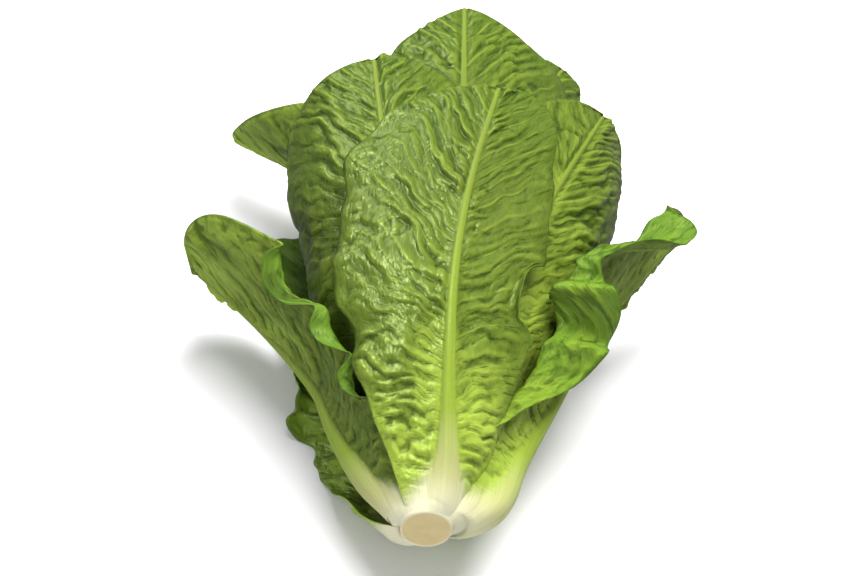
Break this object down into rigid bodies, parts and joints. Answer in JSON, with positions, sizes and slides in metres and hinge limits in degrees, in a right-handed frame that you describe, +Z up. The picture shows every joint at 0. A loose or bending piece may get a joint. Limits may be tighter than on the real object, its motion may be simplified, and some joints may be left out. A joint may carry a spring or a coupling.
{
  "type": "romaine lettuce head",
  "caption": "Head of romaine lettuce lying on its side: long upright leaves with pale midribs and ruffled margins round a cut stem.",
  "frame": {"origin": "middle of the flat spot under the outermost leaf, on the surface that the head lies on", "axes": "+Z up, away from that surface; +Y along the head from the cut butt to the leaf tips; +X to the right seen from the butt"},
  "size_m": [0.2368, 0.2682, 0.1213],
  "materials": {
    "leaf": "fresh green leaf, glossy and blistered, paler at the rib and base",
    "heart_leaf": "pale yellow-green inner leaf, satin",
    "stem": "cream stem tissue, cut face dry and slightly browned"
  },
  "bodies": {
    "root": {"stem": "stem", "leaf_under_left": "leaf", "leaf_front": "leaf", "leaf_right_outer": "leaf", "leaf_left_outer": "leaf", "leaf_under_right": "leaf", "leaf_upper_right": "leaf", "leaf_upper_left": "leaf", "leaf_bottom": "leaf", "leaf_far_right": "leaf", "leaf_far_left": "leaf", "leaf_crown": "leaf", "leaf_low_left": "leaf", "leaf_crown_right": "leaf", "leaf_low_right": "leaf", "leaf_inner_1": "leaf", "leaf_inner_2": "leaf", "leaf_inner_3": "leaf", "leaf_inner_4": "leaf", "leaf_inner_5": "leaf", "leaf_heart": "heart_leaf"}
  },
  "joints": []
}
